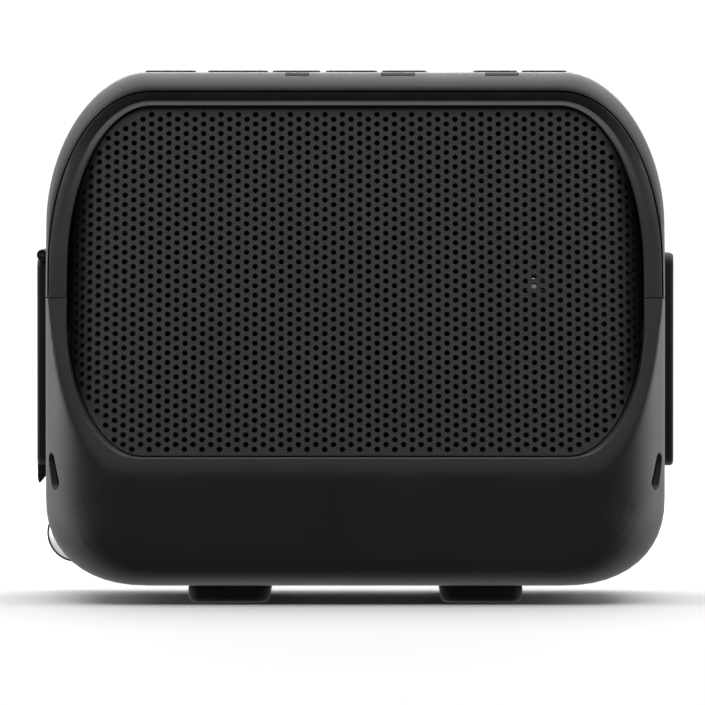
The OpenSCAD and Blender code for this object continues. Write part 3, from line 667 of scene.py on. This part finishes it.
# The blank is x across, y up the face and z out of it, and now it is stood up and leant back.
stand = Matrix.Translation((0, FRONT / 1000, CREASE / 1000)) @ Matrix.Rotation(-LEAN, 4, "X")
stand = stand @ Matrix.Rotation(math.pi / 2, 4, "X")
grille.data.transform(stand @ Matrix.Translation((0, 0, -SHEET_AT / 1000)))
settle(smooth(grille, 30), powder_coat, "housing", "grille_steel", "grille")


# ------------------------------------------------------------------ rear cover
# A flat lid that shuts the back over a flat gasket, moulded in black ABS and held by six
# screws in sunk holes. A shallow panel in its middle is ribbed across.
to_back = Matrix.Rotation(-math.pi / 2, 4, "X")
on_lid = Matrix.Translation((0, 0, 56)) @ to_back
lid = slab("rear_cover_lid", (89.8, 69.8), BACK - 2.6, BACK, 3, 0.2, 0.3, on_lid)
sinks = []
for x, z in LID_SCREWS:
    sinks.append(rod_tool((x, 27, z), (0, 1, 0), 1.3, 0, 3))
    sinks.append(rod_tool((x, 29.4, z), (0, 1, 0), 2.5, 0, 5, 48))
PANEL_Y = BACK - 0.6
sinks.append(slab("tool", (66, 52), PANEL_Y, 33, 2, 0.01, 0.01, on_lid))
carve(lid, sinks)
settle(smooth(lid), shell_abs, "housing", "housing_plastic", "rear_cover")

rib = slab("lid_rib", (62, 1.4), 0, 0.45, 0.7, 0.0, 0.4, to_back)


def repeated(name, points, template, material, body, slot, nodes=(), angle=34):
    """Puts one copy of a template on each point, in millimetres, with Geometry Nodes."""
    spots = bpy.data.meshes.new(name)
    spots.from_pydata([tuple(v * 0.001 for v in p) for p in points], [], [])
    piece = bpy.data.objects.new(name, spots)
    bpy.context.scene.collection.objects.link(piece)
    inputs = {"Template": ("NodeSocketObject", template), "Finish": ("NodeSocketMaterial", material)}
    tree, given = socket_tree(name + "_row", inputs)
    shape = add(tree, "GeometryNodeObjectInfo", {}, {0: given["Template"]}).outputs["Geometry"]
    points_in = add(tree, "GeometryNodeMeshToPoints", {}, {0: given["Geometry"]}).outputs[0]
    copies = add(tree, "GeometryNodeInstanceOnPoints", {}, {"Points": points_in, "Instance": shape})
    copies = add(tree, "GeometryNodeRealizeInstances", {}, {"Geometry": copies.outputs[0]}).outputs[0]
    copies = add(tree, "GeometryNodeSetMaterial", {}, {"Geometry": copies, "Material": given["Finish"]})
    add(tree, "NodeGroupOutput", {}, {0: copies.outputs[0]})
    apply_tree(piece, tree, inputs)
    bpy.data.objects.remove(template)
    return settle(smooth(piece, angle), material, body, slot, *nodes)


rib_places = [(0, PANEL_Y, 33.5 + 3.0 * k) for k in range(16)]
repeated("rear_cover_ribs", rib_places, rib, shell_abs, "housing", "housing_plastic")


# ------------------------------------------------------------------ screws
# Zinc-plated steel screws with a six-sided socket: six shut the rear cover, four hold the
# driver to its baffle, and four join the two housings from inside.
# Bright zinc over turned steel: pale, fairly shiny, with faint turning rings.
zinc_steel = finish("zinc_plated_steel", "a9abad", 0.3, 0.12, 0.003, metallic=1.0, stretch=(1, 1, 0.2))


def screw(name, head_r, head_h, shank_r, length, turn):
    """A pan-head screw along z: its socket opens at 0, and its point is at head_h + length."""
    curve = [(0.02, head_h * 0.65), (head_r * 0.42, head_h * 0.6), (head_r * 0.46, 0.0), (head_r * 0.8, 0.02)]
    curve += [(head_r * 0.96, head_h * 0.25), (head_r, head_h * 0.55), (head_r, head_h), (shank_r, head_h)]
    curve += [(shank_r, head_h + length * 0.85), (shank_r * 0.3, head_h + length), (0.02, head_h + length)]
    profiles = []
    for k, (r, h) in enumerate(curve):
        ring = []
        for q in range(24):
            a = math.pi * q / 12
            six = math.cos(math.pi / 6) / math.cos((a % (math.pi / 3)) - math.pi / 6) if k in (1, 2) else 1.0
            ring.append(tuple(turn @ Vector((r * six * math.cos(a), r * six * math.sin(a), h))))
        profiles.append(ring)
    return loft(name, profiles, closed=False)


into_back = Matrix.Rotation(math.pi / 2, 4, "X")
template = screw("lid_screw", 2.2, 1.3, 1.0, 6.6, into_back)
spots = [(x, BACK - 0.3, z) for x, z in LID_SCREWS]
repeated(
    "rear_cover_screws_zinc", spots, template, zinc_steel, "housing", "screw_steel", ["rear_cover_screws"]
)
into_face = Matrix.Rotation(-LEAN - math.pi / 2, 4, "X")
template = screw("frame_screw", 2.6, 1.2, 1.0, 7, into_face)
spots = []
HEAD_AT = 4.8
for x in (-32.25, 25.25):
    for up_face in (13.25, 70.75):
        y = FRONT + up_face * math.sin(LEAN) + HEAD_AT * math.cos(LEAN)
        spots.append((x, y, CREASE + up_face * math.cos(LEAN) - HEAD_AT * math.sin(LEAN)))
repeated("driver_screws_zinc", spots, template, zinc_steel, "housing", "screw_steel", ["driver_screws"])


# ------------------------------------------------------------------ key row
# A soft elastomer surround let into the crown, with seven keys standing just proud of it, each
# a moulded cap that presses straight down on a switch. A pinhole for the microphone is between.
# Silicone elastomer from a finely blasted tool: dead matt, a shade browner than the ABS.
key_rubber = finish("matt_black_silicone", "1e1d1d", 0.62, 0.14, 0.008, drift=0.06, IOR=1.42)

in_well = Matrix.Translation((0.4, KEY_Y, 0))
surround = slab("key_row_surround", (91.1, 9.8), CROWN - 1, CROWN, 2.2, 0.0, 0.3, in_well)
surround_cuts = [rod_tool((MIC_X, KEY_Y, 100), (0, 0, 1), 0.9, 0, 20)]
for middle, width in KEYS.values():
    at = Matrix.Translation((middle, KEY_Y, 0))
    surround_cuts.append(slab("tool", (width + 0.6, KEY_D + 0.6), 105, 118, 1.8, 0.01, 0.01, at))
carve(surround, surround_cuts)
settle(smooth(surround), key_rubber, "housing", "key_elastomer", "key_frame")

# Each cap is hollowed a little for a finger, and a flange under the crown keeps it in.
for label, (middle, width) in KEYS.items():
    at = Matrix.Translation((middle, KEY_Y, 0))
    cap = slab(label + "_key_cap", (width, KEY_D), 107.2, CROWN + 0.4, 1.6, 0.1, 0.35, at)
    flange = slab("tool", (width - 0.4, KEY_D + 1.6), 107.2, 108.0, 1.6, 0.05, 0.05, at)
    hollow = [(0.02, 0), (width * 0.36, 0.9), (width * 0.36, 3), (0.02, 3)]
    dish = lathe("tool", hollow, Matrix.Translation((middle, KEY_Y, CROWN + 0.08)), 40)
    carve(cap, [flange], "UNION")
    carve(cap, [dish])
    settle(smooth(cap), key_rubber, label + "_button", "key_elastomer", label + "_key")


# ------------------------------------------------------------------ lamps
# Smoked polycarbonate windows: three let into the front slope of the crown, and four short bars
# up the left shoulder that show the battery's charge. A clear lens sits behind the grille.
# Smoked polycarbonate: near black, its face etched dull so that it hides until it is lit.
smoked_pc = finish(
    "smoked_polycarbonate", "070708", 0.55, 1.6, 0.004, drift=0.05, IOR=1.585, Specular_IOR_Level=0.1
)
clear_pc = finish(
    "frosted_clear_polycarbonate", "dfe6ea", 0.25, 0.5, 0.004, drift=0.05, IOR=1.585,
    Emission_Color=(0.85, 0.93, 1.0, 1.0), Emission_Strength=2.5,
)
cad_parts["status_lamp"].data.materials.clear()
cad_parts["status_lamp"].data.materials.append(clear_pc)


# ------------------------------------------------------------------ port flap
# A soft cover over the two sockets in the left side. It turns up about a steel pin at its
# top, and its foot narrows to a sloping tab for a finger.
# Elastomer (TPE) from a blasted tool: matt, faintly blotchy where hands polish it.
flap_rubber = finish("matt_black_TPE", "191919", 0.58, 0.18, 0.01, drift=0.12, IOR=1.45)

PROUD = 67.4
sideways = Matrix.Rotation(math.pi / 2, 4, "Z")
on_left = Matrix.Translation((0, FLAP_Y, 49.9)) @ Matrix.Rotation(-math.pi / 2, 4, "Y") @ sideways
flap = slab("port_flap_cover", (FLAP_D, 44.0), SIDE + 0.4, PROUD, 2.6, 0.15, 0.7, on_left)
knuckle = rod_tool((PIN_X, 1, PIN_Z), (0, 1, 0), 1.2, 0, 16, 32)
tab_profile = [(-PROUD, 32.0), (-PROUD, 25.4), (-67.2, 24.3), (-66.9, 24.1)]
tab_profile += [(-65.9, 25.3), (-65.4, 26.2), (-65.4, 32.0)]
tab = loft("tool", [[(x, y, z) for x, z in tab_profile] for y in (4.0, 4.3, 13.7, 14.0)], closed=False)
carve(flap, [knuckle, tab], "UNION")
carve(flap, [rod_tool((PIN_X, -5, PIN_Z), (0, 1, 0), 0.45, 0, 30, 24)])
settle(smooth(flap), flap_rubber, "port_door", "flap_elastomer", "port_flap")
pin_curve = [(0.02, 0), (0.3, 0), (0.4, 0.15), (0.4, 19.05), (0.3, 19.2), (0.02, 19.2)]
pin = lathe("flap_pin_steel", pin_curve, Matrix.Translation((PIN_X, -0.6, PIN_Z)) @ to_back, 20)
settle(smooth(pin), zinc_steel, "housing", "screw_steel", "flap_pin")

# The matching pad on the right side is fixed in its seat and opens nothing.
on_right = Matrix.Translation((0, FLAP_Y, 50.4)) @ Matrix.Rotation(math.pi / 2, 4, "Y") @ sideways
pad_size = (FLAP_D - 0.1, FLAP_HIGH - FLAP_LOW - 0.1)
pad = slab("side_pad", pad_size, SIDE + 0.02, PROUD, 2.6, 0.1, 0.7, on_right)
settle(smooth(pad), flap_rubber, "housing", "flap_elastomer", "side_cover")


# ------------------------------------------------------------------ strap fixings
# A turned, chromed brass button in a notch of the left rear corner takes the loop of a strap.
# Satin chrome on turned brass: pale, softly mirroring, with the faintest turning rings.
chrome = finish(
    "satin_chrome_on_brass", "e4e5e7", 0.4, 0.2, 0.0008, metallic=1.0, stretch=(1, 0.1, 1), drift=0.05
)
curve = [(0.02, 21.0), (1.4, 21.0), (1.4, 26.25), (2.9, 26.25), (3.0, 26.4), (3.1, 26.6)]
curve += [(5.9, 29.45), (6.05, 29.65), (6.05, 30.1), (5.9, 30.35), (5.4, 30.5), (3.0, 30.58), (0.02, 30.6)]
stud = lathe("strap_stud", curve, Matrix.Translation((BUTTON[0], 0, BUTTON[1])) @ to_back, 72)
settle(smooth(stud), chrome, "housing", "button_chrome", "strap_button")
# A thin moulded band round the head keeps the plated edge off wet tiles.
band_curve = [(6.06, 29.55), (6.2, 29.5), (6.3, 29.65), (6.3, 30.1), (6.2, 30.25), (6.06, 30.2)]
band = loft(
    "strap_stud_band",
    [
        [(BUTTON[0] + r * math.cos(a), y, BUTTON[1] + r * math.sin(a)) for r, y in band_curve]
        for a in (2 * math.pi * k / 72 for k in range(72))
    ],
)
settle(smooth(band), flap_rubber, "housing", "flap_elastomer", "strap_button")


# ------------------------------------------------------------------ rail feet
# Two soft rails under the base, moulded in rubber and bonded into it. Their lower edges are
# rounded, and a thin step shows where each meets the housing.
# Natural rubber, black filled: matt and slightly dusty, a little worn where it meets the table.
foot_rubber = finish("black_filled_rubber", "212121", 0.7, 0.3, 0.015, drift=0.12, worn="3a3a39")
for side, node in ((-1, "left_foot"), (1, "right_foot")):
    at = Matrix.Translation((side * 26.4, 0, 0))
    rail = slab(node + "_rail", (17.2, 44), 0, 3.35, 3, 1.4, 0.25, at)
    step = slab("tool", (16.2, 43), 3.1, 4.6, 2.6, 0.05, 0.05, at)
    carve(rail, [step], "UNION")
    settle(smooth(rail), foot_rubber, "housing", "foot_rubber", node)


# ------------------------------------------------------------------ inside
# Parts that are seen only through the grille, through the ports or with a cover off. They keep
# the shapes of the frame, and each gets the finish of its real stuff.
# Fine woven polyester, dyed black: a plain weave that light passes through.
cloth = finish("woven_black_polyester", "232325", 0.8, 0.3, 0.03)
weave = cloth.node_tree
place_on = add(weave, "ShaderNodeTexCoord").outputs["Object"]
THREAD = 0.55
wave = {"Vector": place_on, "Scale": 1000 / THREAD / math.tau * 0.5, "Distortion": 0.2}
thread = [
    add(weave, "ShaderNodeTexWave", {"bands_direction": way}, wave).outputs["Fac"] for way in ("X", "Z")
]
cover_share = span(weave, calc(weave, "MAXIMUM", *thread), 0.35, 0.6, 0.2, 0.75)
dyed = [n for n in weave.nodes if n.type == "BSDF_PRINCIPLED"][0]
weave.links.new(cover_share, dyed.inputs["Alpha"])

stuffs = {
    # Pressed cold-rolled steel under a thin black dip coat.
    "basket": finish("dip_coated_steel", "3c3c3e", 0.4, 0.5, 0.01, IOR=1.5),
    # Turned and zinc-plated mild steel.
    "plate": finish("turned_mild_steel", "8f9194", 0.36, 0.25, 0.004, metallic=1.0, stretch=(1, 1, 0.3)),
    # Sintered ferrite: dark, dull, with a ground face.
    "ferrite": finish("sintered_ferrite", "37373a", 0.55, 0.4, 0.02),
    # Pressed paper pulp, dyed black, fibrous.
    "paper": finish("pressed_paper_pulp", "2e2e2f", 0.75, 0.5, 0.04, stretch=(1, 1, 0.4)),
    # Butyl rubber roll and closed-cell gasket.
    "seal": finish("butyl_rubber", "1b1b1b", 0.55, 0.35, 0.01, drift=0.1),
    # Enamelled copper wire, wound close.
    "copper": finish("enamelled_copper_wire", "b46a3a", 0.3, 0.3, 0.05, metallic=1.0, stretch=(0.05, 1, 1)),
    # Phenolic-stiffened cotton, corrugated.
    "spider": finish("phenolic_cotton", "b08a4e", 0.8, 0.4, 0.05),
    # Glass-filled nylon, unpainted, from a plain tool.
    "nylon": finish("glass_filled_nylon", "262627", 0.55, 0.6, 0.02),
    # Glass epoxy board under green solder mask.
    "board": finish("solder_masked_board", "1f4a2c", 0.35, 0.8, 0.01, Coat_Weight=0.3),
    # Epoxy-moulded chips and wound parts.
    "chip": finish("moulded_epoxy", "202022", 0.5, 0.3, 0.01),
    # Drawn tin-plated shield.
    "shield": finish("tin_plated_steel", "a4a6a8", 0.32, 0.5, 0.006, metallic=1.0),
    # Nickel-plated cell can in a thin heat-shrunk PVC sleeve.
    "cell": finish("heat_shrunk_PVC_sleeve", "2b5a8c", 0.28, 1.2, 0.01, drift=0.1, Coat_Weight=0.2),
}
keep = {
    "splash_mesh": cloth, "housing_seal": "seal", "rear_cover_seal": "seal", "driver_gasket": "seal",
    "cone_surround": "seal", "housing_screws": zinc_steel, "baffle_plate": "nylon",
    "driver_basket": "basket", "cone": "paper", "dust_cap": "paper", "voice_coil": "copper",
    "spider": "spider", "top_plate": "plate", "yoke": "plate", "magnet": "ferrite",
    "battery_cells": "cell", "battery_tray": "nylon", "battery_clamps": "plate",
    "main_board": "board", "key_board": "board", "port_board": "board", "board_parts": "chip",
    "radio_module": "shield", "charging_socket": "shield", "tact_switches": "shield",
    "audio_jack": "chip", "microphone": "shield", "key_lamps": smoked_pc, "charge_lamps": smoked_pc,
    "left_strap_socket": "nylon", "right_strap_socket": "nylon",
}
for node, stuff in keep.items():
    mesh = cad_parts[node].data
    mesh.materials.clear()
    mesh.materials.append(stuffs[stuff] if isinstance(stuff, str) else stuff)


# ------------------------------------------------------------------ studio
# Not part of the object: a pale floor, a soft light above and behind, one each side, and the camera.
floor_paint = finish("matt_pale_floor", "b4b4b4", 0.9, 2.0, 0.01, drift=0.02, spread=0.008)
floor = lathe("floor", [(0.02, 0), (760, 0), (760, -6), (0.02, -6)], Matrix.Translation((0, -60, 0)), 96)
floor.data.materials.append(floor_paint)
floor.visible_glossy = False

world = bpy.data.worlds.new("studio")
bpy.context.scene.world = world
world.use_nodes = True
sky = world.node_tree
sky.nodes.clear()
direction = add(sky, "ShaderNodeTexCoord").outputs["Generated"]
facing = add(sky, "ShaderNodeSeparateXYZ", {}, {0: direction}).outputs[1]
glow = span(sky, facing, -0.35, 0.15, 0.06, 1.05)
light = add(sky, "ShaderNodeBackground", {}, {"Color": (1, 1, 1, 1), "Strength": glow})
add(sky, "ShaderNodeOutputWorld", {}, {"Surface": light.outputs[0]})


def softbox(name, at, aim, width, height, brightness):
    """A flat soft light; brightness is against a white card's 1."""
    lamp = bpy.data.lights.new(name, "AREA")
    lamp.shape, lamp.size, lamp.size_y = "RECTANGLE", width, height
    lamp.energy = brightness * math.pi * width * height
    holder = bpy.data.objects.new(name, lamp)
    bpy.context.scene.collection.objects.link(holder)
    holder.location = at
    holder.rotation_euler = (Vector(aim) - Vector(at)).to_track_quat("-Z", "Y").to_euler()


softbox("overhead", (0, 0.22, 1.1), (0, 0.22, 0), 2.0, 2.0, 2.7)
softbox("left_side", (-1.1, 0.32, 0.3), (0, 0.02, 0.06), 0.9, 0.9, 2.4)
softbox("right_side", (1.1, 0.32, 0.3), (0, 0.02, 0.06), 0.9, 0.9, 2.4)
softbox("low_back", (0, 1.6, 0.6), (0, 0, 0.06), 1.2, 0.6, 6.0)

lens = bpy.data.cameras.new("camera")
lens.type, lens.lens, lens.sensor_width = "PERSP", 439.0, 36.0
lens.clip_end = 100.0
camera = bpy.data.objects.new("camera", lens)
bpy.context.scene.collection.objects.link(camera)
tilt = math.radians(1.5)
distance = 0.1476 * lens.lens / lens.sensor_width
target = Vector((-0.0006, -0.02, 0.0524))
camera.location = target + Vector((0, -math.cos(tilt), math.sin(tilt))) * distance
camera.rotation_euler = (math.pi / 2 - tilt, 0, 0)
bpy.context.scene.camera = camera
